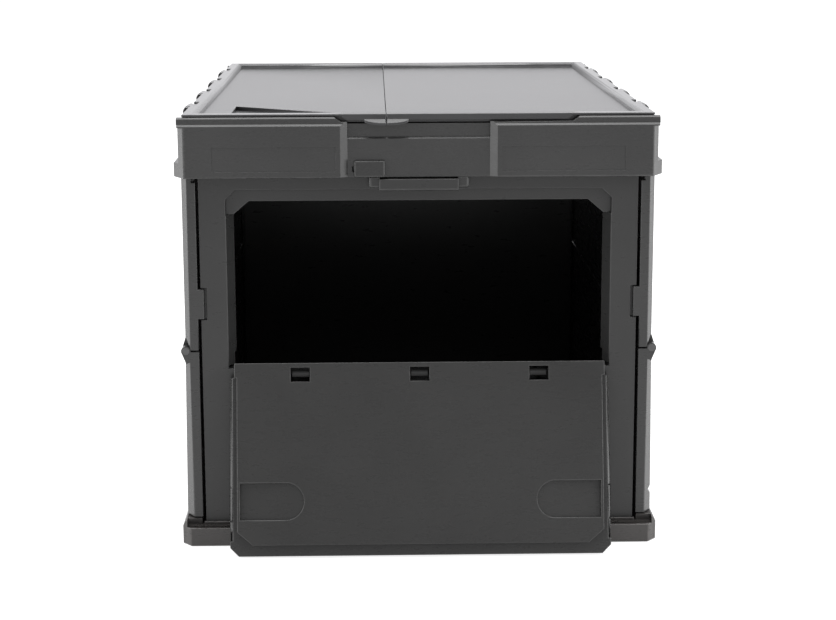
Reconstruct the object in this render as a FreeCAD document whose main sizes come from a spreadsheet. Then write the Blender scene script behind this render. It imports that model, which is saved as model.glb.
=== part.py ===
import FreeCAD, Part
import Sketcher
import os
import re
from FreeCAD import Vector, Rotation, Placement

# Folding storage box: a tray, two long sides hinged at half height, a top ring,
# a two-leaf lid, two hanging end panels and a drop-down door in the front one.
# Frame: origin at the middle of the underside, +X right, +Y from the door end
# to the rear, +Z up.  Millimetres.

doc = FreeCAD.newDocument("FoldingBox")
sheet = doc.addObject("Spreadsheet::Sheet", "Dims")

DIMS = [
    # tray
    ("base_hw", 183.0), ("base_hl", 265.0), ("base_top", 14.4),
    ("base_ch_x", 6.8), ("base_ch_y", 8.0), ("floor_top", 5.0), ("bay_hw", 164.0), ("bay_hl", 241.0),
    ("under_depth", 2.5), ("rim_in", 179.2), ("rim_top", 19.4),
    # long sides
    ("wall_in", 167.4), ("low_out", 178.6), ("low_foot", 180.3), ("upp_out", 178.4), ("wall_hl", 254.0),
    ("low_bot", 20.2), ("low_top", 150.7), ("upp_bot", 152.1), ("upp_top", 283.6),
    ("wall_pocket", 8.0), ("stop_in", 162.8), ("stop_y", 252.9), ("wall_ch", 4.3), ("wall_ch_y", 8.0),
    # hinge lines of the sides
    ("bpiv_x", 171.5), ("bpiv_z", 11.5), ("tpiv_x", 171.2), ("tpiv_z", 290.0),
    ("kpiv_x", 177.6), ("kpiv_z", 151.4), ("knee_r", 3.6), ("knee_pin", 2.0), ("knee_bore", 2.06),
    ("lug_hw", 13.4), ("lug_r", 5.4), ("rod_r", 2.0), ("rod_bore", 2.06),
    ("pin_r", 1.5), ("pin_bore", 1.56),
    # top ring
    ("ring_hw", 179.0), ("ring_front", 174.9), ("ring_bulge", 183.2), ("ring_bot", 284.6), ("bulge_top", 295.4),
    ("ring_top", 324.6), ("ring_in", 166.9), ("lip_hw", 179.4), ("lip_hl", 263.4), ("lip_top", 329.8),
    ("lip_low", 326.2), ("side_top", 321.4), ("bay_back", 253.6), ("bay_top", 303.4),
    ("rec_hw", 53.0), ("rec_hw_out", 58.4), ("rec_y", 261.0), ("rec_y2", 258.8), ("ledge_z", 314.6),
    # end panels
    ("pan_hw", 165.4), ("pan_out", 252.5), ("pan_in", 242.5), ("pan_bot", 15.1),
    ("ppiv_y", 247.5), ("ppiv_z", 297.0), ("ppiv_r", 5.0),
    # window and door
    ("reb_hw", 145.2), ("reb_y", 248.0), ("reb_top", 274.3), ("reb_ch", 7.3),
    ("win_hw", 139.4), ("win_top", 265.3), ("win_ch_x", 11.6), ("win_ch_z", 9.9),
    ("sill_z", 125.5), ("cheek_top", 255.4), ("side_sill", 137.4), ("wide_z", 139.6), ("relief_z", 149.2),
    ("door_hw", 144.2), ("door_in_hw", 138.6), ("strip_hw", 140.4), ("door_tip", 273.5),
    ("door_in_top", 264.8), ("door_bot", 127.5), ("flange_bot", 138.6),
    ("door_fl_y", 248.3), ("door_in_y", 243.7),
    ("dpiv_y", 254.7), ("dpiv_z", 134.5), ("dpiv_r", 3.0), ("lug_w", 13.5), ("lug_pitch", 90.5),
    ("hole_w", 14.5), ("hole_bot", 131.1), ("hole_top", 141.7), ("door_open_deg", 165.75),
    # lid
    ("lid_hw", 175.5), ("lid_hl", 262.0), ("lid_top", 332.0), ("lid_body", 325.2),
    ("lid_flange", 330.4), ("lid_panel", 327.6), ("lid_border", 11.0), ("lid_front", 14.0), ("lid_rear", 11.0), ("lid_body_hl", 256.5),
    ("seam_x", 24.0), ("seam_gap", 0.5), ("lpiv_x", 177.6), ("lpiv_z", 327.2), ("lid_kn_r", 3.9),
    ("lid_lug_r", 3.6),
]
ALIASES = []
for i, (alias, value) in enumerate(DIMS):
    sheet.set("A%d" % (i + 1), alias)
    sheet.set("B%d" % (i + 1), repr(float(value)))
    sheet.setAlias("B%d" % (i + 1), alias)
    ALIASES.append(alias)
doc.recompute()
VAL = {a: float(getattr(sheet, a)) for a in ALIASES}
WORD = re.compile(r"\b([A-Za-z_][A-Za-z0-9_]*)\b")


def ex(e):
    # an expression over the sheet's aliases, written for the expression engine
    return WORD.sub(lambda m: "Dims." + m.group(1) if m.group(1) in VAL else m.group(1), str(e))


COUNT = [0]


def uid(stem):
    COUNT[0] += 1
    return "%s_%d" % (stem, COUNT[0])


def box(x0, x1, y0, y1, z0, z1):
    o = doc.addObject("Part::Box", uid("blk"))
    o.setExpression("Length", ex("(%s)-(%s)" % (x1, x0)))
    o.setExpression("Width", ex("(%s)-(%s)" % (y1, y0)))
    o.setExpression("Height", ex("(%s)-(%s)" % (z1, z0)))
    o.setExpression("Placement.Base.x", ex(x0))
    o.setExpression("Placement.Base.y", ex(y0))
    o.setExpression("Placement.Base.z", ex(z0))
    return o


def sbox(s, x0, x1, y0, y1, z0, z1):
    # a box given for the right-hand side, mirrored when s is -1
    if s > 0:
        return box(x0, x1, y0, y1, z0, z1)
    return box("-(%s)" % x1, "-(%s)" % x0, y0, y1, z0, z1)


def ebox(e, x0, x1, y0, y1, z0, z1):
    # a box given for the rear end (+Y), mirrored to the front when e is -1
    if e > 0:
        return box(x0, x1, y0, y1, z0, z1)
    return box(x0, x1, "-(%s)" % y1, "-(%s)" % y0, z0, z1)


ROT = {"x": Rotation(Vector(0, 1, 0), 90), "y": Rotation(Vector(1, 0, 0), -90), "z": Rotation()}


def cyl(axis, radius, a0, a1, p, q):
    # a cylinder along an axis from a0 to a1; p, q are the two other coordinates in XYZ order
    o = doc.addObject("Part::Cylinder", uid("rnd"))
    o.setExpression("Radius", ex(radius))
    o.setExpression("Height", ex("(%s)-(%s)" % (a1, a0)))
    o.Placement = Placement(Vector(0, 0, 0), ROT[axis])
    base = {"x": (a0, p, q), "y": (p, a0, q), "z": (p, q, a0)}[axis]
    for c, e in zip("xyz", base):
        o.setExpression("Placement.Base." + c, ex(e))
    return o


SKROT = {"y": Rotation(Vector(1, 0, 0), 90), "x": Rotation(Vector(1, 1, 1), 120), "z": Rotation()}
DIRV = {"x": Vector(1, 0, 0), "y": Vector(0, 1, 0), "z": Vector(0, 0, 1)}


def prism(axis, pts, a0, a1):
    # a polygon sketch pushed along an axis; points are the two other coordinates in XYZ order
    sk = doc.addObject("Sketcher::SketchObject", uid("outline"))
    sk.Placement = Placement(Vector(0, 0, 0), SKROT[axis])
    num = []
    for a, b in pts:
        num.append(tuple(num_of(v) for v in (a, b)))
    n = len(pts)
    for i in range(n):
        p, q = num[i], num[(i + 1) % n]
        sk.addGeometry(Part.LineSegment(Vector(p[0], p[1], 0), Vector(q[0], q[1], 0)), False)
    for i in range(n):
        sk.addConstraint(Sketcher.Constraint("Coincident", i, 2, (i + 1) % n, 1))
    for i in range(n):
        for k, kind in enumerate(("DistanceX", "DistanceY")):
            c = sk.addConstraint(Sketcher.Constraint(kind, -1, 1, i, 1, num[i][k]))
            sk.setExpression("Constraints[%d]" % c, ex(pts[i][k]))
    sk.setExpression("Placement.Base." + axis, ex(a0))
    o = doc.addObject("Part::Extrusion", uid("prism"))
    o.Base = sk
    o.DirMode = "Custom"
    o.Dir = DIRV[axis]
    o.setExpression("LengthFwd", ex("(%s)-(%s)" % (a1, a0)))
    o.Solid = True
    return o


def num_of(e):
    # the number that an expression over the sheet gives now, read back from a spare cell
    if isinstance(e, (int, float)):
        return float(e)
    sheet.set("D1", "=" + WORD.sub(lambda m: m.group(1), e))
    sheet.recompute()
    v = sheet.get("D1")
    return float(getattr(v, "Value", v))


def fuse(*objs):
    objs = [o for o in objs if o is not None]
    if len(objs) == 1:
        return objs[0]
    o = doc.addObject("Part::MultiFuse", uid("join"))
    o.Shapes = list(objs)
    o.Refine = True
    return o


def cut(base, *tools):
    o = doc.addObject("Part::Cut", uid("less"))
    o.Base = base
    o.Tool = fuse(*tools)
    o.Refine = True
    return o


def common(a, b):
    o = doc.addObject("Part::Common", uid("both"))
    o.Base = a
    o.Tool = b
    return o


NODES = []


def node(label, obj):
    obj.Label = label
    NODES.append((label, obj))
    return obj


def rod(label, axis, radius, a0, a1, p, q):
    # a turned rod: a circle sketch padded to length
    body = doc.addObject("PartDesign::Body", uid("rod"))
    sk = body.newObject("Sketcher::SketchObject", uid("section"))
    plane = [f for f in body.Origin.OriginFeatures if f.Role == "XY_Plane"][0]
    sk.AttachmentSupport = (plane, [""])
    sk.MapMode = "FlatFace"
    sk.addGeometry(Part.Circle(Vector(0, 0, 0), Vector(0, 0, 1), num_of(radius)), False)
    sk.addConstraint(Sketcher.Constraint("Coincident", 0, 3, -1, 1))
    c = sk.addConstraint(Sketcher.Constraint("Radius", 0, num_of(radius)))
    sk.setExpression("Constraints[%d]" % c, ex(radius))
    pad = body.newObject("PartDesign::Pad", uid("length"))
    pad.Profile = sk
    pad.setExpression("Length", ex("(%s)-(%s)" % (a1, a0)))
    body.Tip = pad
    body.Placement = Placement(Vector(0, 0, 0), ROT[axis])
    base = {"x": (a0, p, q), "y": (p, a0, q), "z": (p, q, a0)}[axis]
    for k, e in zip("xyz", base):
        body.setExpression("Placement.Base." + k, ex(e))
    return node(label, body)




def corner(s, e, outer, z0, z1, past="0"):
    # cuts the outer vertical corner of a side at one end
    run = "wall_hl-wall_ch_y*(1+(%s)/wall_ch)" % past
    return prism("z", [("%d*(%s+%s+1)" % (s, outer, past), "%d*(%s)" % (e, run)), ("%d*(%s+%s+1)" % (s, outer, past), "%d*(wall_hl+1)" % e),
                       ("%d*(%s-wall_ch)" % (s, outer), "%d*(wall_hl+1)" % e), ("%d*(%s-wall_ch)" % (s, outer), "%d*wall_hl" % e),
                       ("%d*(%s+%s)" % (s, outer, past), "%d*(%s)" % (e, run))], z0, z1)


WALL_Y = [-205.0, -70.0, 70.0, 205.0]        # hinge lugs at the foot and head of each side
LID_Y = [-174.0, -58.0, 58.0, 174.0]         # lid knuckles
KNEE_Y = [-240.0, 0.0, 240.0]                # knee hinge stations


def sx(s, e):
    return e if s > 0 else "-(%s)" % e


# ------------------------------------------------------------------ tray
tray = fuse(
    box("-base_hw", "base_hw", "-base_hl", "base_hl", 0, "base_top"),
    *[prism("y", [(sx(s, "rim_in"), "base_top-1"), (sx(s, "base_hw"), "base_top-1"), (sx(s, "base_hw"), "base_top"),
                  (sx(s, "rim_in+1.6"), "rim_top"), (sx(s, "rim_in"), "rim_top")], "-base_hl", "base_hl") for s in (1, -1)],
    # low ridges under the feet of the sides
    *[sbox(s, "wall_in+0.6", "rim_in+0.1", -252.4, 252.4, "base_top-1", "rim_top-0.3") for s in (1, -1)])
tools = [box("-bay_hw", "bay_hw", "-bay_hl", "bay_hl", "floor_top", 40)]
for s in (1, -1):
    for e in (1, -1):
        # the upright corner is rounded over, in four flats
        arc = [(0.0, 1.0), (0.29, 0.72), (0.55, 0.43), (0.81, 0.17), (1.0, 0.0)]
        tools.append(prism("z", [("%d*(base_hw+1)" % s, "%d*(base_hl+1)" % e), ("%d*(base_hw-base_ch_x)" % s, "%d*(base_hl+1)" % e)]
                           + [("%d*(base_hw-base_ch_x*%s)" % (s, 1 - f), "%d*(base_hl-base_ch_y*%s)" % (e, 1 - g)) for f, g in arc]
                           + [("%d*(base_hw+1)" % s, "%d*(base_hl-base_ch_y)" % e)], -1, 30))
    for yk in WALL_Y:
        tools.append(sbox(s, "bay_hw-1", 179.1, yk - 14, yk + 14, "floor_top+0.2", 40))
    tools.append(cyl("y", "rod_bore", -250.2, 250.2, sx(s, "bpiv_x"), "bpiv_z"))
for xa, xb in ((-156, -82), (-76, -4), (4, 76), (82, 156)):
    for ya, yb in ((-232, -120), (-114, -4), (4, 114), (120, 232)):
        tools.append(box(xa, xb, ya, yb, -1, "under_depth"))
node("base_tray", cut(tray, *tools))

for s, side in ((-1, "left"), (1, "right")):
    rod(side + "_base_rod", "y", "rod_r", -250, 250, sx(s, "bpiv_x"), "bpiv_z")
    rod(side + "_top_rod", "y", "rod_r", -250, 250, sx(s, "tpiv_x"), "tpiv_z")

# ------------------------------------------------------------------ long sides
PANES = ((-240, -84), (-78, 78), (84, 240))


def knuckles(yc, which):
    # the two outer knuckles belong to the lower half, the middle one to the upper
    if which == "low":
        return ((yc - 14.0, yc - 5.2), (yc + 5.2, yc + 14.0))
    return ((yc - 4.8, yc + 4.8),)


for s, side in ((-1, "left"), (1, "right")):
    def P(pts):
        return [(sx(s, "%s" % a), b) for a, b in pts]
    # lower half
    add = [prism("y", P([("wall_in", "low_bot"), ("low_foot", "low_bot"), ("low_out", "low_top"), ("wall_in", "low_top")]), "-wall_hl", "wall_hl")]
    for yk in WALL_Y:
        add.append(cyl("y", "lug_r", "%s-lug_hw" % yk, "%s+lug_hw" % yk, sx(s, "bpiv_x"), "bpiv_z"))
        add.append(sbox(s, "bpiv_x-lug_r", "bpiv_x+lug_r", "%s-lug_hw" % yk, "%s+lug_hw" % yk, "bpiv_z", "low_bot+2"))
    sub = []
    for ya, yb in PANES:
        sub.append(sbox(s, "low_out-wall_pocket", "low_out+5", ya + 3, yb - 3, "low_bot+11", "low_top-22"))
    for e in (1, -1):
        sub.append(corner(s, e, "low_out", "low_bot-1", "low_top+1", "2.5"))
    if s > 0:
        # small nick in the outer edge at the door end
        sub.append(prism("y", [("low_foot+1", 40.2), ("low_foot-2.4", 36.9), ("low_foot+1", 31.8)], "-wall_hl-1", "-wall_hl+26"))
    for yc in KNEE_Y:
        for ya, yb in knuckles(yc, "upp"):
            sub.append(prism("y", P([("kpiv_x-5", "kpiv_z+1.4"), ("kpiv_x+7", "kpiv_z+1.4"),
                                     ("kpiv_x+7", "kpiv_z-9"), ("kpiv_x-0.2", "kpiv_z-9")]), ya - 0.2, yb + 0.2))
    add.append(sbox(s, "stop_in", "wall_in+1", "stop_y", "wall_hl", "low_bot", "low_top"))
    halfbody = cut(fuse(*add), *sub)
    kn = []
    for yc in KNEE_Y:
        for ya, yb in knuckles(yc, "low"):
            kn.append(prism("y", P([("kpiv_x-4.4", "kpiv_z-8"), ("low_out-1.2", "kpiv_z-10"), ("kpiv_x+3.5", "kpiv_z-0.8"),
                                    ("kpiv_x", "kpiv_z+3.6"), ("kpiv_x-2.4", "kpiv_z+1.8"), ("kpiv_x-4.4", "kpiv_z-1.9")]), ya, yb))
            kn.append(cyl("y", "knee_r", ya, yb, sx(s, "kpiv_x"), "kpiv_z"))
    whole = fuse(halfbody, *kn)
    bores = [cyl("y", "rod_bore", -250.2, 250.2, sx(s, "bpiv_x"), "bpiv_z")]
    for yc in KNEE_Y:
        bores.append(cyl("y", "knee_bore", yc - 14.5, yc + 14.5, sx(s, "kpiv_x"), "kpiv_z"))
    node(side + "_lower_wall", cut(whole, *bores))

    # upper half, with the end tabs that keep the end panels from swinging out
    add = [sbox(s, "wall_in", "upp_out", "-wall_hl", "wall_hl", "upp_bot", "upp_top")]
    for yk in WALL_Y:
        add.append(cyl("y", "lug_r", "%s-lug_hw" % yk, "%s+lug_hw" % yk, sx(s, "tpiv_x"), "tpiv_z"))
        add.append(sbox(s, "tpiv_x-lug_r", "tpiv_x+lug_r", "%s-lug_hw" % yk, "%s+lug_hw" % yk, "upp_top-2", "tpiv_z"))
    for e in (1, -1):
        ya, yb = (("249.6", "wall_hl") if e > 0 else ("-wall_hl", "-249.6"))
        add.append(sbox(s, "stop_in", "wall_in+1", ya, yb, 176.2, 199.0))
    sub = []
    for ya, yb in PANES:
        sub.append(sbox(s, "upp_out-wall_pocket", "upp_out+5", ya + 3, yb - 3, "upp_bot+22", "upp_top-11"))
    for e in (1, -1):
        sub.append(corner(s, e, "upp_out", "upp_bot-1", "upp_top+1"))
        ya, yb = (("249.6", "wall_hl+1") if e > 0 else ("-wall_hl-1", "-249.6"))
        sub.append(sbox(s, "wall_in-1", 170.2, ya, yb, "upp_top-3.2", "upp_top+1"))
    for yc in KNEE_Y:
        for ya, yb in knuckles(yc, "low"):
            sub.append(prism("y", P([("kpiv_x-5", "kpiv_z-1.4"), ("kpiv_x+7", "kpiv_z-1.4"),
                                     ("kpiv_x+7", "kpiv_z+9"), ("kpiv_x-0.2", "kpiv_z+9")]), ya - 0.2, yb + 0.2))
    add.append(sbox(s, "stop_in", "wall_in+1", "stop_y", "wall_hl", "upp_bot", "upp_top-3.2"))
    halfbody = cut(fuse(*add), *sub)
    kn = []
    for yc in KNEE_Y:
        for ya, yb in knuckles(yc, "upp"):
            kn.append(prism("y", P([("kpiv_x-4.4", "kpiv_z+9"), ("upp_out-0.6", "kpiv_z+11"), ("kpiv_x+3.5", "kpiv_z+0.8"),
                                    ("kpiv_x", "kpiv_z-3.6"), ("kpiv_x-2.4", "kpiv_z-1.8"), ("kpiv_x-4.4", "kpiv_z+1.9")]), ya, yb))
            kn.append(cyl("y", "knee_r", ya, yb, sx(s, "kpiv_x"), "kpiv_z"))
    whole = fuse(halfbody, *kn)
    bores = [cyl("y", "rod_bore", -250.2, 250.2, sx(s, "tpiv_x"), "tpiv_z")]
    for yc in KNEE_Y:
        bores.append(cyl("y", "knee_bore", yc - 14.5, yc + 14.5, sx(s, "kpiv_x"), "kpiv_z"))
    node(side + "_upper_wall", cut(whole, *bores))

    pins = doc.addObject("Part::Compound", uid("pins"))
    pins.Links = [fuse(cyl("y", "knee_pin", yc - 14, yc + 14, sx(s, "kpiv_x"), "kpiv_z"),
                       cyl("y", 2.7, *(("-wall_hl-0.5", "-wall_hl") if yc < 0 else ("wall_hl", "wall_hl+0.5")), sx(s, "kpiv_x"), "kpiv_z"))
                  if abs(yc) > 200 else cyl("y", "knee_pin", yc - 14, yc + 14, sx(s, "kpiv_x"), "kpiv_z") for yc in KNEE_Y]
    node(side + "_knee_pins", pins)

# ------------------------------------------------------------------ top ring
add = [
    box("-ring_hw", "ring_hw", "-base_hl", "base_hl", "ring_bot", "ring_top"),
    box("-ring_bulge", "ring_bulge", "-base_hl+1.2", "base_hl-1.2", "ring_bot", "bulge_top"),
    box("-lip_hw", "lip_hw", "-lip_hl", "lip_hl", "ring_top-0.1", "lip_top"),
    box("-lip_hw+0.3", "lip_hw-0.3", "-base_hl", "base_hl", "ring_top-2.4", "ring_top"),
]
ring = fuse(*add)
sub = [
    box("-ring_in", "ring_in", "-bay_hl", "bay_hl", "ring_bot-1", 340),
    # room inside the lip for the lid
    box("-ring_in-20", "ring_in+20", "-257.8", "257.8", "ring_top", 340),
    box("-ring_in", "ring_in", "-259.4", "259.4", "ring_top", 340),
]
for s in (1, -1):
    sub.append(sbox(s, 169.3, 190, -257.8, 257.8, "side_top", 340))
    for yk in WALL_Y:
        sub.append(sbox(s, "ring_in-2", 177.4, yk - 14, yk + 14, "ring_bot-1", "tpiv_z+6.4"))
    sub.append(cyl("y", "rod_bore", -250.2, 250.2, sx(s, "tpiv_x"), "tpiv_z"))
    for e in (1, -1):
        ya = "ppiv_y" if e > 0 else "-ppiv_y"
        x0, x1 = ("ring_in-1", "174.2") if s > 0 else ("-174.2", "-ring_in+1")
        sub.append(cyl("x", "rod_bore", x0, x1, ya, "ppiv_z"))
for e in (1, -1):
    # room for the head of the end panel
    sub.append(ebox(e, "-ring_in+0.4", "ring_in-0.4", "bay_hl-1", "bay_back", "ring_bot-1", "bay_top"))
    # handle recess with slanted cheeks, deeper above its ledge
    sub.append(prism("z", [("-rec_hw_out", "%d*(base_hl+1)" % e), ("rec_hw_out", "%d*(base_hl+1)" % e),
                           ("rec_hw_out", "%d*base_hl" % e), ("rec_hw", "%d*rec_y" % e),
                           ("-rec_hw", "%d*rec_y" % e), ("-rec_hw_out", "%d*base_hl" % e)], "ring_bot-1", 340))
    sub.append(ebox(e, "-rec_hw", "rec_hw", "rec_y2", "rec_y+1", "ledge_z", 340))
    # flat cut across the ring's outer corners, below the lip
    for s in (1, -1):
        sub.append(prism("z", [("%d*ring_front" % s, "%d*base_hl" % e), ("%d*(ring_front+8.8)" % s, "%d*(base_hl-16)" % e),
                               ("%d*190" % s, "%d*(base_hl-16)" % e), ("%d*190" % s, "%d*(base_hl+5)" % e),
                               ("%d*ring_front" % s, "%d*(base_hl+5)" % e)], "ring_bot-1", "ring_top-2.4"))
    # shallow fields on the two end blocks
    for s in (1, -1):
        sub.append(ebox(e, *(("62", "153.8") if s > 0 else ("-153.8", "-62")), "base_hl-0.5", "base_hl+1", 289.5, 307.7))
# the front lip drops under the lid's skirt
sub.append(prism("y", [("-63", "lip_top+1"), ("-63", "lip_top"), ("-57.6", "lip_low"), ("114.5", "lip_low"),
                       ("119.5", "lip_top"), ("119.5", "lip_top+1")], "-base_hl-1", "-257"))
# slot and back pocket of the lid lock
sub.append(box(-50.8, -23.4, "-256.4", "-253.4", 286.4, 295.6))
sub.append(box(-49.6, -26.6, "-rec_y-0.5", "-256", 288.7, 292.7))
ring = cut(ring, *sub)
lugs = []
for s in (1, -1):
    for yk in LID_Y:
        for ya, yb in ((yk - 17.0, yk - 8.5), (yk + 8.5, yk + 17.0)):
            lugs.append(cyl("y", "lid_lug_r", ya, yb, sx(s, "lpiv_x"), "lpiv_z"))
            lugs.append(sbox(s, "lpiv_x-lid_lug_r", "lip_hw", ya, yb, "side_top-2", "lpiv_z"))
ring = fuse(ring, *lugs)
bores = []
for s in (1, -1):
    for yk in LID_Y:
        bores.append(cyl("y", "pin_bore", yk - 17.5, yk + 17.5, sx(s, "lpiv_x"), "lpiv_z"))
node("top_frame", cut(ring, *bores))

for e, end in ((-1, "front"), (1, "rear")):
    grip = fuse(
        ebox(e, -29.7, 29.7, 255.2, 263.0, 274.3, 283.4),
        ebox(e, -37.6, -29.2, 255.2, 261.0, 276.4, "ring_bot"),
        ebox(e, 29.2, 37.6, 255.2, 261.0, 276.4, "ring_bot"))
    node(end + "_grip", grip)

slider = fuse(
    box(-48.3, -25.2, "-rec_y-3.4", "-rec_y-0.25", 284.9, 297.3),
    box(-47.0, -39.0, "-rec_y-0.4", -256.0, 289.0, 292.4),
    box(-50.2, -36.0, -256.1, -254.3, 287.0, 295.0))
node("lid_lock_slider", slider)

for s, side in ((-1, "left"), (1, "right")):
    pins = doc.addObject("Part::Compound", uid("pins"))
    pins.Links = [cyl("y", "pin_r", yk - 17, yk + 17, sx(s, "lpiv_x"), "lpiv_z") for yk in LID_Y]
    node(side + "_lid_pins", pins)

# ------------------------------------------------------------------ end panels
for e, end in ((-1, "front"), (1, "rear")):
    yp = "%d*ppiv_y" % e
    add = [ebox(e, "-pan_hw", "pan_hw", "pan_in", "pan_out", "pan_bot", "ppiv_z"),
           cyl("x", "ppiv_r", "-pan_hw", "pan_hw", yp, "ppiv_z")]
    sub = [cyl("x", "rod_bore", "-pan_hw-1", "pan_hw+1", yp, "ppiv_z")]
    for s in (1, -1):
        x0, x1 = (("160.9", "pan_hw+1") if s > 0 else ("-pan_hw-1", "-160.9"))
        sub.append(ebox(e, x0, x1, 249.2, 253.5, 175.4, 199.8))
    if end == "front":
        # seat for the door's flange along the head, the window behind it, and slanted cheeks at its sides
        sub.append(prism("y", [("-reb_hw", "cheek_top"), ("reb_hw", "cheek_top"), ("reb_hw", "reb_top-reb_ch"),
                               ("reb_hw-reb_ch", "reb_top"), ("-reb_hw+reb_ch", "reb_top"), ("-reb_hw", "reb_top-reb_ch")],
                         "-pan_out-1", "-reb_y"))
        sub.append(prism("y", [("-win_hw", "side_sill"), ("win_hw", "side_sill"), ("win_hw", "win_top-win_ch_z"),
                               ("win_hw-win_ch_x", "win_top"), ("-win_hw+win_ch_x", "win_top"), ("-win_hw", "win_top-win_ch_z")],
                         "-pan_out-1", "-pan_in+1"))
        for s in (1, -1):
            sub.append(prism("z", [("%d*(win_hw-1)" % s, "-pan_out-1"), ("%d*(reb_hw+0.1*(reb_hw-win_hw))" % s, "-pan_out-1"),
                                   ("%d*(win_hw-0.1*(reb_hw-win_hw))" % s, "-pan_in+1"), ("%d*(win_hw-1)" % s, "-pan_in+1")], "side_sill", "cheek_top"))
        sub.append(box("-strip_hw-0.5", "strip_hw+0.5", "-pan_out-1", "-pan_in+1", "sill_z", "wide_z"))
        sub.append(box("-reb_hw", "reb_hw", "-pan_out-1", "-pan_in+1", "side_sill", "wide_z"))
        # room for the door's hinge strip as it swings
        sub.append(box("-strip_hw-0.5", "strip_hw+0.5", "-reb_y-1", "-pan_in+1", "sill_z", "relief_z"))
    else:
        for x0, x1 in ((-150, -54), (-48, 48), (54, 150)):
            for z0, z1 in ((30, 118), (126, 214), (222, 276)):
                sub.append(box(x0, x1, "pan_out-3", "pan_out+1", z0, z1))
    panel = cut(fuse(*add), *sub)
    if end == "front":
        kn = []
        for k in (-1, 0, 1):
            x0, x1 = "%d*lug_pitch-lug_w/2" % k, "%d*lug_pitch+lug_w/2" % k
            kn.append(cyl("x", "dpiv_r", x0, x1, "-dpiv_y", "dpiv_z"))
            kn.append(prism("x", [("-dpiv_y-dpiv_r", "dpiv_z"), ("-dpiv_y-dpiv_r", "sill_z-6"), ("-pan_out+0.5", "sill_z-14"),
                                  ("-pan_out+0.5", "sill_z-0.4"), ("-dpiv_y+1.6", "sill_z-0.4"), ("-dpiv_y+1.6", "dpiv_z")], x0, x1))
        panel = cut(fuse(panel, *kn), cyl("x", "pin_bore", -120, 120, "-dpiv_y", "dpiv_z"))
    node(end + "_panel", panel)
    rod(end + "_panel_rod", "x", "rod_r", -174, 174, yp, "ppiv_z")

rod("door_hinge_rod", "x", "pin_r", -136, 136, "-dpiv_y", "dpiv_z")

# ------------------------------------------------------------------ door, drawn shut and then swung open
add = [
    prism("y", [("-door_hw", "flange_bot"), ("door_hw", "flange_bot"), ("door_hw", "door_tip-6.6"), ("door_hw-6.6", "door_tip"),
                ("-door_hw+6.6", "door_tip"), ("-door_hw", "door_tip-6.6")], "-pan_out", "-door_fl_y"),
    prism("y", [("-door_in_hw", "flange_bot-1"), ("door_in_hw", "flange_bot-1"), ("door_in_hw", "door_in_top-win_ch_z"),
                ("door_in_hw-win_ch_x", "door_in_top"), ("-door_in_hw+win_ch_x", "door_in_top"), ("-door_in_hw", "door_in_top-win_ch_z")],
          "-pan_out", "-door_in_y"),
    box("-strip_hw", "strip_hw", "-pan_out", "-door_in_y", "door_bot", "flange_bot"),
]
for x0, x1 in ((-135.5, "-lug_pitch-lug_w/2-0.9"), ("-lug_pitch+lug_w/2+0.9", "-lug_w/2-0.9"),
               ("lug_w/2+0.9", "lug_pitch-lug_w/2-0.9"), ("lug_pitch+lug_w/2+0.9", 135.5)):
    add.append(cyl("x", "dpiv_r", x0, x1, "-dpiv_y", "dpiv_z"))
sub = [cyl("x", "pin_bore", -137, 137, "-dpiv_y", "dpiv_z")]
for k in (-1, 0, 1):
    sub.append(box("%d*lug_pitch-hole_w/2" % k, "%d*lug_pitch+hole_w/2" % k, -262, "-door_in_y+1", "hole_bot", "hole_top"))
for s in (1, -1):
    # D-shaped finger recess: deep at its straight outer edge, shallow at the round end
    d = fuse(sbox(s, 102, 136.4, -249, -240, 218.2, 245.8),
             cyl("y", 13.8, -249, -240, sx(s, "102"), 232.0))
    ramp = prism("z", [(sx(s, "84"), "-door_in_y-0.9"), (sx(s, "84"), "-door_in_y+2"), (sx(s, "140"), "-door_in_y+2"),
                       (sx(s, "140"), "-door_in_y-3.6")], 210, 255)
    sub.append(common(d, ramp))
    # guide slot of the side catch
    sub.append(sbox(s, 136.4, "door_hw+1", -251.7, -249.1, 221.7, 246.8))
    # the flange's edge follows the window's slanted cheek
    sub.append(prism("z", [(sx(s, "door_hw+2"), "-pan_out+0.7"), (sx(s, "door_hw"), "-pan_out+0.7"), (sx(s, "door_hw-2.1"), "-door_fl_y"),
                           (sx(s, "door_hw-2.1"), "-door_fl_y+0.6"), (sx(s, "door_hw+2"), "-door_fl_y+0.6")], "flange_bot-0.5", 262))
shut = cut(fuse(*add), *sub)
catches = {}
for s, side in ((-1, "left"), (1, "right")):
    catches[side] = prism("z", [(sx(s, "138.4"), -251.5), (sx(s, "144.2"), -251.5), (sx(s, "142.9"), -249.3), (sx(s, "138.4"), -249.3)], 222.0, 246.5)
doc.recompute()


def swing(label, source):
    o = doc.addObject("Part::Feature", uid(label))
    o.Shape = source.Shape.copy()
    o.Placement = Placement(Vector(0, 0, 0), Rotation(Vector(1, 0, 0), VAL["door_open_deg"]),
                            Vector(0, -VAL["dpiv_y"], VAL["dpiv_z"])).multiply(source.Shape.Placement)
    return node(label, o)


swing("door", shut)
for side in ("left", "right"):
    swing(side + "_door_catch", catches[side])

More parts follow.
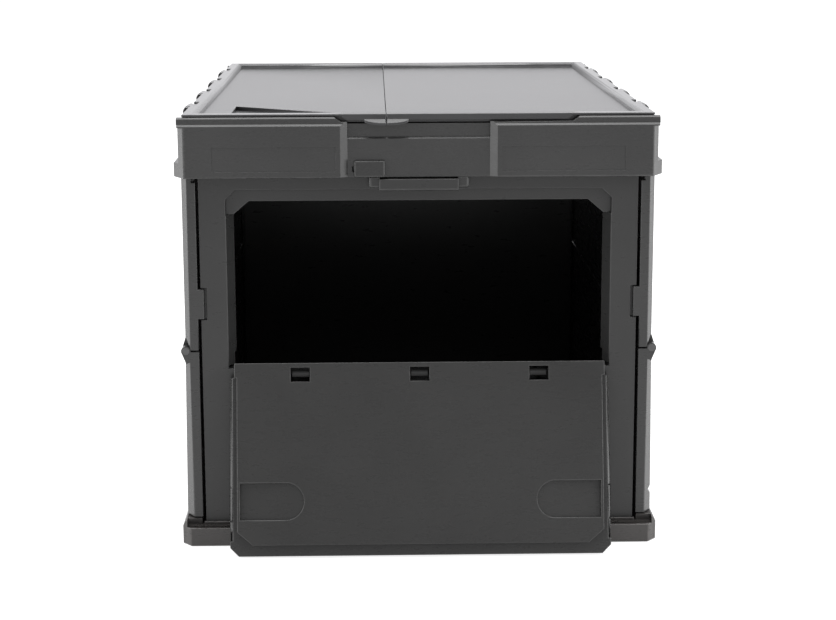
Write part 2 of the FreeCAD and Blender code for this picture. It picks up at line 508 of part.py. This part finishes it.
# ------------------------------------------------------------------ lid leaves
for s, side in ((-1, "left"), (1, "right")):
    if s > 0:
        xs, xo = "-seam_x+seam_gap/2", "lid_hw"
        X = lambda a, b: (a, b)
    else:
        xs, xo = "-lid_hw", "-seam_x-seam_gap/2"
    x_in0, x_in1 = (xs, "lid_hw-lid_border") if s > 0 else ("-lid_hw+lid_border", xo)
    add = [
        box(xs, xo, "-lid_hl", "lid_hl", "lid_flange", "lid_top"),
        box(xs, xo, "-lid_body_hl", "lid_body_hl", "lid_body", "lid_flange+0.1"),
    ]
    # skirt along the front and the finger tab beside the seam
    far, low = (114.0, 111.0) if s > 0 else (-57.0, -53.6)
    inner = xs if s > 0 else xo
    add.append(prism("y", [(far, "lid_top-0.2"), (far, 329.9), (low, 327.5), (inner, 327.5), (inner, "lid_top-0.2")], "-lid_hl", "-lid_hl+2.4"))
    # half of the finger tab, which leans a little down and forward
    t = "-seam_x+seam_gap/2" if s > 0 else "-seam_x-seam_gap/2"
    plan = prism("z", [(t, "-lid_hl+1.2"), ("%s+(%d)*16.5" % (t, s), "-lid_hl+1.2"), ("%s+(%d)*16.5" % (t, s), "-lid_hl"),
                       ("%s+(%d)*15.4" % (t, s), "-lid_hl-3.1"), ("%s+(%d)*13" % (t, s), "-lid_hl-5.2"), ("%s+(%d)*9.4" % (t, s), "-lid_hl-6.9"),
                       ("%s+(%d)*5" % (t, s), "-lid_hl-7.9"), (t, "-lid_hl-8.2")], 318, 336)
    lean = prism("x", [("-lid_hl+1.2", 328.3), ("-lid_hl-9", 326.0), ("-lid_hl-9", 324.4), ("-lid_hl+1.2", 326.5)], -45, -4)
    add.append(common(plan, lean))
    if s > 0:
        # the rear border stands a little higher on this leaf
        add.append(box(xs, xo, "lid_hl-lid_rear", "lid_hl", "lid_top-0.1", "lid_top+0.7"))
    # stiffening ribs underneath, inside the ring
    rx0, rx1 = ("-seam_x+6", "160") if s > 0 else ("-160", "-seam_x-6")
    for yr in (-232, -155, -78, -1, 76, 153, 230):
        add.append(box(rx0, rx1, yr, yr + 2.2, 317.5, "lid_body+0.1"))
    for xr in ((-18, 40, 98, 157.8) if s > 0 else (-160, -118, -75, -32.2)):
        add.append(box(xr, xr + 2.2, -232, 232.2, 317.5, "lid_body+0.1"))
    sub = [box(x_in0 if s < 0 else xs + "-1", x_in1 if s > 0 else xo + "+1", "-lid_hl+lid_front", "lid_hl-lid_rear", "lid_panel", 340)]
    for yk in LID_Y:
        sub.append(sbox(s, 171.4, 190, yk - 17.6, yk + 17.6, 310, 340))
    if s > 0:
        sub.append(box(-17, 12, "lid_hl-7", "lid_hl+1", "lid_top", 340))
        sub.append(box(37, 54, "lid_hl-7", "lid_hl+1", "lid_top", 340))
    leaf = cut(fuse(*add), *sub)
    extra = []
    for yk in LID_Y:
        extra.append(cyl("y", "lid_kn_r", yk - 8, yk + 8, sx(s, "lpiv_x"), "lpiv_z"))
        extra.append(sbox(s, 168, "lpiv_x", yk - 8, yk + 8, "lid_body+0.3", "lpiv_z+lid_kn_r"))
    if s < 0:
        # three-cornered well with a raised rim, in the front corner of the narrow leaf
        rim = prism("z", [(-145, -249), (-145, -161), (-141.5, -162), (-30, -243.5), (-30, -249)], "lid_panel-1", "lid_panel+1.8")
        extra.append(rim)

    leaf = fuse(leaf, *extra)
    bores = [cyl("y", "pin_bore", yk - 9, yk + 9, sx(s, "lpiv_x"), "lpiv_z") for yk in LID_Y]
    if s < 0:
        bores.append(prism("z", [(-141.2, -246.5), (-141.2, -167.5), (-33.5, -246.5)], 326.1, "lid_panel+5"))
    node(side + "_lid", cut(leaf, *bores))

# ------------------------------------------------------------------ check and write
doc.recompute()
bad = [o.Name for o in doc.Objects if "Invalid" in o.State or "Error" in o.State]
if bad:
    raise RuntimeError("failed features: %s" % bad)
for label, obj in NODES:
    sh = obj.Shape
    if sh.isNull() or not sh.isValid():
        raise RuntimeError("bad shape: " + label)
    if not sh.Solids:
        raise RuntimeError("no solid: " + label)
os.makedirs("parts", exist_ok=True)
for label, obj in NODES:
    obj.Shape.exportStep("parts/%s.step" % label)
    b = obj.Shape.BoundBox
    print("%-18s solids %d  vol %9.0f  x %7.1f %7.1f  y %7.1f %7.1f  z %6.1f %6.1f" % (
        label, len(obj.Shape.Solids), obj.Shape.Volume, b.XMin, b.XMax, b.YMin, b.YMax, b.ZMin, b.ZMax))
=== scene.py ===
import math

import bmesh
import bpy
from mathutils import Matrix, Vector


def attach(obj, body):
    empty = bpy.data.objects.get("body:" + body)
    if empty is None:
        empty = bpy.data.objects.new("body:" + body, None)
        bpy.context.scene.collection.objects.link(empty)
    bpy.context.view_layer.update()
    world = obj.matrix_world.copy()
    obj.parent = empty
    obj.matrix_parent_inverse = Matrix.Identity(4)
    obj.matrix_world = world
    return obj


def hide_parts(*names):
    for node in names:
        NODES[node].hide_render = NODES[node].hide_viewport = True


# A folding storage box of dark satin plastic: tray, hinged sides, top ring,
# split lid, end panels and a drop-down door, on a plain pale floor.
# Metres, in the frame of the part.

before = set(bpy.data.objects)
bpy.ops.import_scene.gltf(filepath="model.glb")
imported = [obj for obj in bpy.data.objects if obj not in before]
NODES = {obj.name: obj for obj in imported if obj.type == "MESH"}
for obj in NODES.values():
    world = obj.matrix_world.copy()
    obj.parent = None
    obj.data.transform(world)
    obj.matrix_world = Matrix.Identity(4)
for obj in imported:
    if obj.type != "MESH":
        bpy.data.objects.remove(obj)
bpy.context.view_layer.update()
scene = bpy.context.scene
MM = 0.001


# ------------------------------------------------------------------ materials
def link(tree, a, b):
    tree.links.new(a, b)


def plastic(name, colour, rough, ior=1.5, grain=1.0, tone=0.10, wear_and_sheen=0.35, spec=0.5, vary=0.025, crest=None):
    """Moulded plastic: fine spark-eroded grain, slow drift of tone and gloss, and rounded edges painted pale, partly
    as wear from handling and partly as a painted highlight.
    """
    m = bpy.data.materials.new(name)
    m.use_nodes = True
    t = m.node_tree
    t.nodes.clear()
    out = t.nodes.new("ShaderNodeOutputMaterial")
    bsdf = t.nodes.new("ShaderNodeBsdfPrincipled")
    bsdf.inputs["IOR"].default_value = ior
    bsdf.inputs["Specular IOR Level"].default_value = spec
    bsdf.inputs["Metallic"].default_value = 0.0
    coord = t.nodes.new("ShaderNodeTexCoord")

    # slow drift of tone over a hand's width
    drift = t.nodes.new("ShaderNodeTexNoise")
    drift.inputs["Scale"].default_value = 9.0
    drift.inputs["Detail"].default_value = 3.0
    drift.inputs["Roughness"].default_value = 0.55
    link(t, coord.outputs["Object"], drift.inputs["Vector"])
    # fine speckle of the grain
    speck = t.nodes.new("ShaderNodeTexNoise")
    speck.inputs["Scale"].default_value = 1300.0
    speck.inputs["Detail"].default_value = 2.0
    link(t, coord.outputs["Object"], speck.inputs["Vector"])
    # scuffs: stretched noise, faint
    stretch = t.nodes.new("ShaderNodeMapping")
    stretch.inputs["Scale"].default_value = (1.0, 0.35, 3.2)
    link(t, coord.outputs["Object"], stretch.inputs["Vector"])
    scuff = t.nodes.new("ShaderNodeTexNoise")
    scuff.inputs["Scale"].default_value = 60.0
    scuff.inputs["Detail"].default_value = 6.0
    scuff.inputs["Roughness"].default_value = 0.7
    link(t, stretch.outputs["Vector"], scuff.inputs["Vector"])

    lo = tuple(c * (1.0 - tone) for c in colour) + (1.0,)
    hi = tuple(c * (1.0 + tone) for c in colour) + (1.0,)
    ramp = t.nodes.new("ShaderNodeValToRGB")
    ramp.color_ramp.elements[0].position = 0.35
    ramp.color_ramp.elements[0].color = lo
    ramp.color_ramp.elements[1].position = 0.65
    ramp.color_ramp.elements[1].color = hi
    link(t, drift.outputs["Fac"], ramp.inputs["Fac"])
    specks = t.nodes.new("ShaderNodeMapRange")
    specks.inputs["From Min"].default_value = 0.3
    specks.inputs["From Max"].default_value = 0.7
    specks.inputs["To Min"].default_value = 0.88
    specks.inputs["To Max"].default_value = 1.12
    link(t, speck.outputs["Fac"], specks.inputs["Value"])
    speckled = t.nodes.new("ShaderNodeVectorMath")
    speckled.operation = "SCALE"
    link(t, ramp.outputs["Color"], speckled.inputs[0])
    link(t, specks.outputs["Result"], speckled.inputs["Scale"])

    # worn edges and a painted edge highlight: the rounded edges, marked by an attribute, are painted pale
    edge = t.nodes.new("ShaderNodeAttribute")
    edge.attribute_type = "GEOMETRY"
    edge.attribute_name = "edge"
    patch = t.nodes.new("ShaderNodeMapRange")
    patch.inputs["From Min"].default_value = 0.42
    patch.inputs["From Max"].default_value = 0.62
    patch.inputs["To Min"].default_value = 0.35 * wear_and_sheen
    patch.inputs["To Max"].default_value = wear_and_sheen
    link(t, scuff.outputs["Fac"], patch.inputs["Value"])
    amount = t.nodes.new("ShaderNodeMath")
    amount.operation = "MULTIPLY"
    link(t, edge.outputs["Fac"], amount.inputs[0])
    link(t, patch.outputs["Result"], amount.inputs[1])
    edge_wear_and_sheen = t.nodes.new("ShaderNodeMix")
    edge_wear_and_sheen.data_type = "RGBA"
    # pale edge colour: partly wear, partly a painted highlight on the roundings
    pale = tuple(min(1.0, c * 2.6 + 0.012) for c in colour) + (1.0,)
    edge_wear_and_sheen.inputs[7].default_value = pale
    link(t, amount.outputs[0], edge_wear_and_sheen.inputs[0])
    link(t, speckled.outputs[0], edge_wear_and_sheen.inputs[6])
    link(t, edge_wear_and_sheen.outputs[2], bsdf.inputs["Base Color"])

    # gloss drifts with the scuffs
    gloss = t.nodes.new("ShaderNodeMapRange")
    gloss.inputs["From Min"].default_value = 0.3
    gloss.inputs["From Max"].default_value = 0.7
    gloss.inputs["To Min"].default_value = rough - vary
    gloss.inputs["To Max"].default_value = rough + vary
    link(t, scuff.outputs["Fac"], gloss.inputs["Value"])
    if crest is None:
        link(t, gloss.outputs["Result"], bsdf.inputs["Roughness"])
    else:
        # a raised border, rubbed smooth from one height upwards, but left dull in the middle of the front
        level, polish, x0, x1, y1 = crest
        parts = t.nodes.new("ShaderNodeSeparateXYZ")
        link(t, coord.outputs["Object"], parts.inputs[0])
        high = t.nodes.new("ShaderNodeMapRange")
        high.inputs["From Min"].default_value = level - 0.0006
        high.inputs["From Max"].default_value = level + 0.0006
        high.inputs["To Min"].default_value = 1.0
        high.inputs["To Max"].default_value = polish
        link(t, parts.outputs["Z"], high.inputs["Value"])
        dull = None
        for axis, edge_at, begin, end in (("X", x0, 0.0, 1.0), ("X", x1, 1.0, 0.0), ("Y", y1, 1.0, 0.0)):
            span = t.nodes.new("ShaderNodeMapRange")
            span.inputs["From Min"].default_value = edge_at - 0.004
            span.inputs["From Max"].default_value = edge_at + 0.004
            span.inputs["To Min"].default_value = begin
            span.inputs["To Max"].default_value = end
            link(t, parts.outputs[axis], span.inputs["Value"])
            if dull is None:
                dull = span.outputs["Result"]
            else:
                both = t.nodes.new("ShaderNodeMath")
                both.operation = "MULTIPLY"
                link(t, dull, both.inputs[0])
                link(t, span.outputs["Result"], both.inputs[1])
                dull = both.outputs[0]
        eased = t.nodes.new("ShaderNodeMix")
        eased.data_type = "FLOAT"
        eased.inputs[3].default_value = 1.15
        link(t, dull, eased.inputs[0])
        link(t, high.outputs["Result"], eased.inputs[2])
        rubbed = t.nodes.new("ShaderNodeMath")
        rubbed.operation = "MULTIPLY"
        link(t, gloss.outputs["Result"], rubbed.inputs[0])
        link(t, eased.outputs[0], rubbed.inputs[1])
        link(t, rubbed.outputs[0], bsdf.inputs["Roughness"])

    # grain in the surface
    cells = t.nodes.new("ShaderNodeTexVoronoi")
    cells.inputs["Scale"].default_value = 1500.0
    link(t, coord.outputs["Object"], cells.inputs["Vector"])
    height = t.nodes.new("ShaderNodeMath")
    height.operation = "ADD"
    link(t, speck.outputs["Fac"], height.inputs[0])
    link(t, cells.outputs["Distance"], height.inputs[1])
    bump = t.nodes.new("ShaderNodeBump")
    bump.inputs["Strength"].default_value = 0.12 * grain
    bump.inputs["Distance"].default_value = 0.00012
    link(t, height.outputs[0], bump.inputs["Height"])
    link(t, bump.outputs["Normal"], bsdf.inputs["Normal"])
    link(t, bsdf.outputs["BSDF"], out.inputs["Surface"])
    return m


def steel(name):
    """Drawn steel wire: fine lines along the rod and small differences of gloss."""
    m = bpy.data.materials.new(name)
    m.use_nodes = True
    t = m.node_tree
    t.nodes.clear()
    out = t.nodes.new("ShaderNodeOutputMaterial")
    bsdf = t.nodes.new("ShaderNodeBsdfPrincipled")
    bsdf.inputs["Metallic"].default_value = 1.0
    coord = t.nodes.new("ShaderNodeTexCoord")
    lines = t.nodes.new("ShaderNodeTexNoise")
    lines.inputs["Scale"].default_value = 900.0
    lines.inputs["Detail"].default_value = 4.0
    link(t, coord.outputs["Object"], lines.inputs["Vector"])
    ramp = t.nodes.new("ShaderNodeValToRGB")
    ramp.color_ramp.elements[0].color = (0.36, 0.36, 0.37, 1)
    ramp.color_ramp.elements[1].color = (0.58, 0.58, 0.59, 1)
    link(t, lines.outputs["Fac"], ramp.inputs["Fac"])
    link(t, ramp.outputs["Color"], bsdf.inputs["Base Color"])
    gloss = t.nodes.new("ShaderNodeMapRange")
    gloss.inputs["To Min"].default_value = 0.28
    gloss.inputs["To Max"].default_value = 0.46
    link(t, lines.outputs["Fac"], gloss.inputs["Value"])
    link(t, gloss.outputs["Result"], bsdf.inputs["Roughness"])
    bump = t.nodes.new("ShaderNodeBump")
    bump.inputs["Strength"].default_value = 0.15
    bump.inputs["Distance"].default_value = 0.00005
    link(t, lines.outputs["Fac"], bump.inputs["Height"])
    link(t, bump.outputs["Normal"], bsdf.inputs["Normal"])
    link(t, bsdf.outputs["BSDF"], out.inputs["Surface"])
    return m


DARK = (0.0215, 0.0215, 0.0212)
MATS = {
    "body_plastic": plastic("body_plastic", DARK, 0.28, spec=0.40),
    "lid_plastic": plastic("lid_plastic", (0.0190, 0.0190, 0.0198), 0.25, grain=0.5, vary=0.003, crest=(0.3303, 0.62, -0.060, 0.117, -0.240)),
    "door_plastic": plastic("door_plastic", (0.0205, 0.0205, 0.0199), 0.28, spec=0.40),
    "latch_plastic": plastic("latch_plastic", (0.0185, 0.0185, 0.0182), 0.27, spec=0.34),
    "pin_plastic": plastic("pin_plastic", (0.050, 0.050, 0.050), 0.36),
    "hinge_rod_steel": steel("hinge_rod_steel"),
    "panel_plastic": plastic("panel_plastic", (0.0195, 0.0195, 0.0192), 0.29, spec=0.35),
    "base_plastic": plastic("base_plastic", (0.0330, 0.0305, 0.0290), 0.28, spec=0.40),
}


# ------------------------------------------------------------------ shells
def room_along(edge):
    """Shortest neighbouring edge that leaves this one at an angle: how far a rounding can reach."""
    d0 = (edge.verts[1].co - edge.verts[0].co).normalized()
    best = 1.0
    for v in edge.verts:
        for f in edge.link_faces:
            for e in v.link_edges:
                if e is edge or f not in e.link_faces:
                    continue
                d = e.verts[1].co - e.verts[0].co
                n = d.length
                if n < 1e-9:
                    continue
                c = abs(d.dot(d0)) / n
                if c < 0.9:
                    best = min(best, n * math.sqrt(1 - c * c))
    return best


def shell(node, body, slot, width=0.6, rules=(), material=None, segments=3, cham=(), extra=(), level=None, bend=None):
    """A finished moulding over a node: flat areas merged, outer edges rounded, roundings marked so the material
    paints them pale, as wear and as a painted highlight.
    """
    src = NODES[node]
    bm = bmesh.new()
    bm.from_mesh(src.data)
    if level is not None:
        # one crisp level for a rim that steps by less than a millimetre
        for v in bm.verts:
            if v.co.z > level * MM:
                v.co.z = level * MM
    if bend is not None:
        for v in bm.verts:
            v.co = bend(v.co * 1000.0) * MM
    bmesh.ops.remove_doubles(bm, verts=bm.verts, dist=4e-6)
    bmesh.ops.dissolve_degenerate(bm, edges=bm.edges, dist=2e-6)
    bmesh.ops.dissolve_limit(bm, angle_limit=math.radians(0.8), use_dissolve_boundaries=False,
                             verts=bm.verts, edges=bm.edges)
    bm.normal_update()
    # plain 45 degree chamfers first
    for test, off in cham:
        picked = []
        for e in bm.edges:
            if len(e.link_faces) == 2 and e.calc_face_angle_signed(0.0) > math.radians(60):
                d = e.verts[1].co - e.verts[0].co
                axis = max(range(3), key=lambda k: abs(d[k]))
                if test((e.verts[0].co + e.verts[1].co) / 2 * 1000.0, axis, d.length * 1000.0):
                    picked.append(e)
        if picked:
            bmesh.ops.bevel(bm, geom=picked, offset=off * MM, offset_type="OFFSET", segments=1, profile=0.5,
                            affect="EDGES", clamp_overlap=False)
    # a large plain panel gets a narrow margin, so that its middle stays flat right up to the edges
    broad = [f for f in bm.faces if len(f.verts) == 4 and f.calc_area() > 0.05]
    if broad:
        bmesh.ops.inset_individual(bm, faces=broad, thickness=1.5 * MM, depth=0.0, use_even_offset=True)
    # small blocks moulded on, in millimetres
    for lo, hi in extra:
        mid = (Vector(lo) + Vector(hi)) / 2 * MM
        dims = (Vector(hi) - Vector(lo)) * MM
        bmesh.ops.create_cube(bm, size=1.0, matrix=Matrix.Translation(mid) @ Matrix.Diagonal((dims.x, dims.y, dims.z, 1.0)))
    bm.normal_update()
    widest = max([width] + [r[1] for r in rules]) * MM
    me = bpy.data.meshes.new(node + "_shell")
    weights = []
    bm.edges.ensure_lookup_table()
    bm.edges.index_update()
    for e in bm.edges:
        w = 0.0
        e.smooth = True
        if len(e.link_faces) == 2 and min(f.calc_area() for f in e.link_faces) > 0.00005 * e.calc_length():
            a = e.calc_face_angle_signed(0.0)
            if a > math.radians(27):
                mid = (e.verts[0].co + e.verts[1].co) / 2 * 1000.0
                d = (e.verts[1].co - e.verts[0].co)
                axis = max(range(3), key=lambda k: abs(d[k]))
                w, reach = width, 0.42
                for rule in rules:
                    if rule[0](mid, axis, d.length * 1000.0):
                        w = rule[1]
                        reach = rule[2] if len(rule) > 2 else reach
                        break
                if cham and a < math.radians(55):
                    w = min(w, 0.25)
                w = min(w * MM, reach * room_along(e))
            if w == 0.0 and abs(a) > math.radians(27):
                e.smooth = False
        weights.append(w / widest)
    for f in bm.faces:
        f.smooth = True
    bm.to_mesh(me)
    bm.free()
    for name in [a.name for a in me.attributes]:
        if name in ("custom_normal", "sharp_face"):
            me.attributes.remove(me.attributes[name])
    while me.uv_layers:
        me.uv_layers.remove(me.uv_layers[0])
    att = me.attributes.new("bevel_weight_edge", "FLOAT", "EDGE")
    att.data.foreach_set("value", weights)
    me.materials.clear()
    me.materials.append(MATS["pin_plastic"])
    me.materials.append(MATS["body_plastic"])
    me.polygons.foreach_set("material_index", [0] * len(me.polygons))
    tmp = bpy.data.objects.new(node + "_raw", me)
    scene.collection.objects.link(tmp)
    bev = tmp.modifiers.new("round", "BEVEL")
    bev.limit_method = "WEIGHT"
    bev.width = widest
    bev.segments = segments
    bev.use_clamp_overlap = False
    bev.miter_outer = "MITER_SHARP"
    bev.material = 1
    bev.harden_normals = False
    wn = tmp.modifiers.new("flat", "WEIGHTED_NORMAL")
    wn.mode = "FACE_AREA"
    wn.weight = 60
    wn.keep_sharp = True
    dg = bpy.context.evaluated_depsgraph_get()
    final = bpy.data.meshes.new_from_object(tmp.evaluated_get(dg), preserve_all_data_layers=True, depsgraph=dg)
    final.name = node + "_moulding"
    bpy.data.objects.remove(tmp)
    n = len(final.polygons)
    idx = [0] * n
    final.polygons.foreach_get("material_index", idx)
    # the roundings are marked so that the material paints them pale: wear and a painted highlight
    mark = final.attributes.new("edge", "FLOAT", "FACE")
    mark.data.foreach_set("value", [1.0 if i == 1 else 0.0 for i in idx])
    final.materials.clear()
    final.materials.append(material or MATS[slot])
    final.polygons.foreach_set("material_index", [0] * n)
    if "bevel_weight_edge" in final.attributes:
        final.attributes.remove(final.attributes["bevel_weight_edge"])
    # broad flats keep one normal, so that only the roundings shade
    normals = [Vector(c.vector) for c in final.corner_normals]
    for poly in final.polygons:
        ring = [final.vertices[i].co for i in poly.vertices]
        around = sum((ring[i] - ring[i - 1]).length for i in range(len(ring)))
        if idx[poly.index] == 0 and poly.area > 3e-5 and 2 * poly.area / around > 0.002:
            for i in poly.loop_indices:
                normals[i] = poly.normal.copy()
    final.normals_split_custom_set([tuple(v) for v in normals])
    piece = bpy.data.objects.new(node + "_moulding", final)
    scene.collection.objects.link(piece)
    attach(piece, body)
    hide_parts(node)
    return piece


def near(v, target, tol):
    return abs(v - target) < tol


RING_CHAM = (
    # top edge of the lip, the lowered run of it, the shoulder under it, and the ledge across the finger recess
    (lambda m, k, l: m.z > 329.4 and k == 0 and abs(m.y) > 262.9 and l > 8, 1.25),
    (lambda m, k, l: near(m.z, 326.2, 0.4) and k == 0 and m.y < -262.5 and l > 8, 1.0),
    (lambda m, k, l: near(m.z, 324.6, 0.2) and k == 0 and abs(m.y) > 264.4 and l > 8, 1.5),
    (lambda m, k, l: near(m.z, 314.6, 0.4) and k == 0 and m.y < -260.4 and abs(m.x) < 64 and l > 20, 1.4),
)
RING_RULES = (
    # upright ends of the lip and edges of its thin flange
    (lambda m, k, l: k == 2 and m.z > 321 and abs(m.x) > 178.5, 0.9, 0.6),
    (lambda m, k, l: near(m.z, 322.2, 0.2) and abs(m.x) > 170, 0.3),
    # the recess's upright edges, and the corners and foot of the blocks
    (lambda m, k, l: k == 2 and m.y < -260.4 and abs(m.x) < 64 and l > 5, 1.3, 0.6),
    (lambda m, k, l: k == 2 and abs(m.y) > 264 and abs(m.x) > 170 and l > 5, 1.6),
    (lambda m, k, l: near(m.z, 284.6, 0.3) and abs(m.y) > 264, 0.9),
)
BODY = "box_body"
shell("base_tray", BODY, "body_plastic", 0.7, (
    (lambda m, k, l: near(m.z, 14.4, 0.2) and abs(m.y) > 264.5, 2.6),
    (lambda m, k, l: near(m.z, 0.0, 0.2) and (abs(m.y) > 255 or abs(m.x) > 182), 1.3),
), material=MATS["base_plastic"], extra=(
    # low fence that closes the slit under the foot of the front panel
    ((-166.8, -253.6, 13.6), (166.8, -250.5, 16.4)),))
for side in ("left", "right"):
    g = -1 if side == "left" else 1
    # laps that close the rear corner and the knee behind the end panel
    laps = tuple((tuple(min(p, q) for p, q in zip(a, b)), tuple(max(p, q) for p, q in zip(a, b))) for a, b in (
        ((g * 162.9, 253.3, 148.6), (g * 168.2, 253.9, 153.8)),
        ((g * 162.9, 252.62, 21.0), (g * 165.2, 253.2, 150.6)),
        ((g * 162.9, 252.62, 14.6), (g * 168.0, 253.2, 21.6))))
    laps_up = tuple((tuple(min(p, q) for p, q in zip(a, b)), tuple(max(p, q) for p, q in zip(a, b))) for a, b in (
        ((g * 162.9, 252.62, 152.4), (g * 165.2, 253.2, 290.0)),))
    shell(side + "_lower_wall", BODY, "body_plastic", 0.6, (
        (lambda m, k, l: abs(m.z - 151.4) < 12.6 and abs(m.x) > 172.4, 0.0),
        (lambda m, k, l: k == 2 and abs(m.y) > 240 and abs(m.x) > 174 and l > 20, 0.9),), extra=laps)
    shell(side + "_upper_wall", BODY, "body_plastic", 0.6, (
        (lambda m, k, l: abs(m.z - 151.4) < 12.6 and abs(m.x) > 172.4, 0.0),
        (lambda m, k, l: abs(m.z - 151.4) < 1.5 and k == 0 and abs(m.y) > 252, 0.0),
        (lambda m, k, l: k == 2 and abs(m.y) > 240 and abs(m.x) > 173 and l > 20, 0.5),), extra=laps_up)
    shell(side + "_knee_pins", BODY, "pin_plastic", 0.35)
    shell(side + "_lid_pins", BODY, "pin_plastic", 0.35)
shell("top_frame", BODY, "body_plastic", 0.6, RING_RULES, cham=RING_CHAM)
shell("front_grip", BODY, "body_plastic", 1.8, ((lambda m, k, l: k == 2, 2.4, 0.48),), segments=4, material=MATS["panel_plastic"])
shell("rear_grip", BODY, "body_plastic", 1.8, ((lambda m, k, l: k == 2, 2.4, 0.48),), segments=4, material=MATS["panel_plastic"])
shell("front_panel", BODY, "body_plastic", 0.6, material=MATS["panel_plastic"])
shell("rear_panel", "rear_panel", "body_plastic", 0.6, material=MATS["panel_plastic"])
shell("door", "door", "door_plastic", 0.55, (
    (lambda m, k, l: 1.6 < m.z < 15 and abs(m.x) < 139.5, 0.2),
    (lambda m, k, l: 20 < m.z < 60 and l < 45, 0.9, 0.6),
    (lambda m, k, l: l > 200, 0.7),))
shell("left_door_catch", "left_door_catch", "latch_plastic", 0.45)
shell("right_door_catch", "right_door_catch", "latch_plastic", 0.45)
shell("lid_lock_slider", "lid_lock_slider", "latch_plastic", 1.3, ((lambda m, k, l: k == 2, 2.0, 0.48),), segments=4)


def tab_bend(p):
    """The finger tab turns down at 45 degrees below the front border."""
    out = -262.0 - p.y
    if out > 0.01 and abs(p.x + 24.0) < 17.5 and p.z < 329.0:
        return Vector((p.x, -262.0 - 0.36 * out, p.z + (0.2255 - 0.36) * out))
    return p


LID_RULES = (
    (lambda m, k, l: m.z > 331.5 and abs(m.x + 24.0) < 1.9, 0.35),
    (lambda m, k, l: m.z > 331.5 and (abs(m.y) > 261.3 or abs(m.x) > 174.8), 0.7),
    (lambda m, k, l: m.z > 331.5 and l > 40, 4.2, 0.95),
)
shell("left_lid", "left_lid", "lid_plastic", 0.5, LID_RULES, bend=tab_bend, extra=(
    # laps that close the seam: low along its length, higher across the rear border
    ((-25.2, -247.5, 325.6), (-23.85, 251.6, 326.6)),
    ((-25.2, 254.0, 325.6), (-23.85, 256.4, 331.2)), ((-25.2, 256.2, 330.45), (-23.85, 261.6, 331.2)),
    ((-25.2, 251.4, 325.6), (-23.85, 254.2, 328.4))))
shell("right_lid", "right_lid", "lid_plastic", 0.5, LID_RULES, level=332.0, bend=tab_bend)
for rod in ("left_base_rod", "right_base_rod", "left_top_rod", "right_top_rod",
            "front_panel_rod", "rear_panel_rod", "door_hinge_rod"):
    shell(rod, BODY, "hinge_rod_steel", 0.4)

# ------------------------------------------------------------------ floor
bm = bmesh.new()
bmesh.ops.create_grid(bm, x_segments=1, y_segments=1, size=30.0)
me = bpy.data.meshes.new("floor")
bm.to_mesh(me)
bm.free()
floor = bpy.data.objects.new("floor", me)
floor.location = (0, 0, -0.0002)
scene.collection.objects.link(floor)
fm = bpy.data.materials.new("floor_pale")
fm.use_nodes = True
fb = fm.node_tree.nodes["Principled BSDF"]
fb.inputs["Base Color"].default_value = (0.30, 0.30, 0.30, 1)
fb.inputs["Emission Color"].default_value = (1.0, 1.0, 1.0, 1)
fb.inputs["Emission Strength"].default_value = 0.8
fb.inputs["Roughness"].default_value = 0.9
fb.inputs["Specular IOR Level"].default_value = 0.1
me.materials.append(fm)

# ------------------------------------------------------------------ light
world = bpy.data.worlds.new("studio")
world.use_nodes = True
bg = world.node_tree.nodes["Background"]
bg.inputs["Color"].default_value = (0.985, 0.982, 1.005, 1)
# a little dimmer towards the viewer, as in a white cove with an open front
wt = world.node_tree
way = wt.nodes.new("ShaderNodeTexCoord")
axes = wt.nodes.new("ShaderNodeSeparateXYZ")
wt.links.new(way.outputs["Generated"], axes.inputs[0])
cove = wt.nodes.new("ShaderNodeMapRange")
cove.interpolation_type = "SMOOTHSTEP"
cove.inputs["From Min"].default_value = -0.95
cove.inputs["From Max"].default_value = -0.1
cove.inputs["To Min"].default_value = 0.62
cove.inputs["To Max"].default_value = 1.06
wt.links.new(axes.outputs["Y"], cove.inputs["Value"])
wt.links.new(cove.outputs["Result"], bg.inputs["Strength"])
scene.world = world


def softbox(name, place, aim, size, power):
    d = bpy.data.lights.new(name, "AREA")
    d.shape = "RECTANGLE"
    d.size, d.size_y = size
    d.energy = power
    o = bpy.data.objects.new(name, d)
    o.location = place
    o.rotation_mode = "QUATERNION"
    o.rotation_quaternion = (Vector(aim) - Vector(place)).to_track_quat("-Z", "Y")
    scene.collection.objects.link(o)
    return o


softbox("right_box", (2.6, -2.2, 1.5), (0, -0.2, 0.15), (1.6, 1.6), 20.0)
softbox("left_side", (-1.15, -0.35, 0.62), (0, -0.35, 0.62), (1.5, 1.2), 15.0)
softbox("right_side", (1.15, -0.35, 0.62), (0, -0.35, 0.62), (1.5, 1.2), 13.0)
softbox("top_box", (0.0, 0.6, 2.4), (0, 0.6, 0.0), (2.4, 3.2), 130.0)

# ------------------------------------------------------------------ camera
F, CX, CY, CZ = 1935.91184, -0.0328475789, -1.69384277, 0.471970239
YAW, PITCH, ROLL = 2.21999937e-02, 1.98576605e-01, -3.33518476e-03
fwd = Vector((math.sin(YAW) * math.cos(PITCH), math.cos(YAW) * math.cos(PITCH), -math.sin(PITCH)))
right = Vector((math.cos(YAW), -math.sin(YAW), 0.0))
up = right.cross(fwd)
r2 = right * math.cos(ROLL) + up * math.sin(ROLL)
u2 = -right * math.sin(ROLL) + up * math.cos(ROLL)
cam_data = bpy.data.cameras.new("camera")
cam_data.sensor_fit = "HORIZONTAL"
cam_data.sensor_width = 36.0
cam_data.lens = 36.0 * F / 836.0
cam_data.clip_start, cam_data.clip_end = 0.05, 100.0
cam = bpy.data.objects.new("camera", cam_data)
rot = Matrix((r2, u2, -fwd)).transposed()
cam.matrix_world = Matrix.Translation((CX, CY, CZ)) @ rot.to_4x4()
scene.collection.objects.link(cam)
scene.camera = cam

scene.view_settings.view_transform = "Standard"
scene.view_settings.look = "None"
scene.view_settings.exposure = 0.0
scene.view_settings.gamma = 1.0

# ------------------------------------------------------------------ end
bpy.context.view_layer.update()
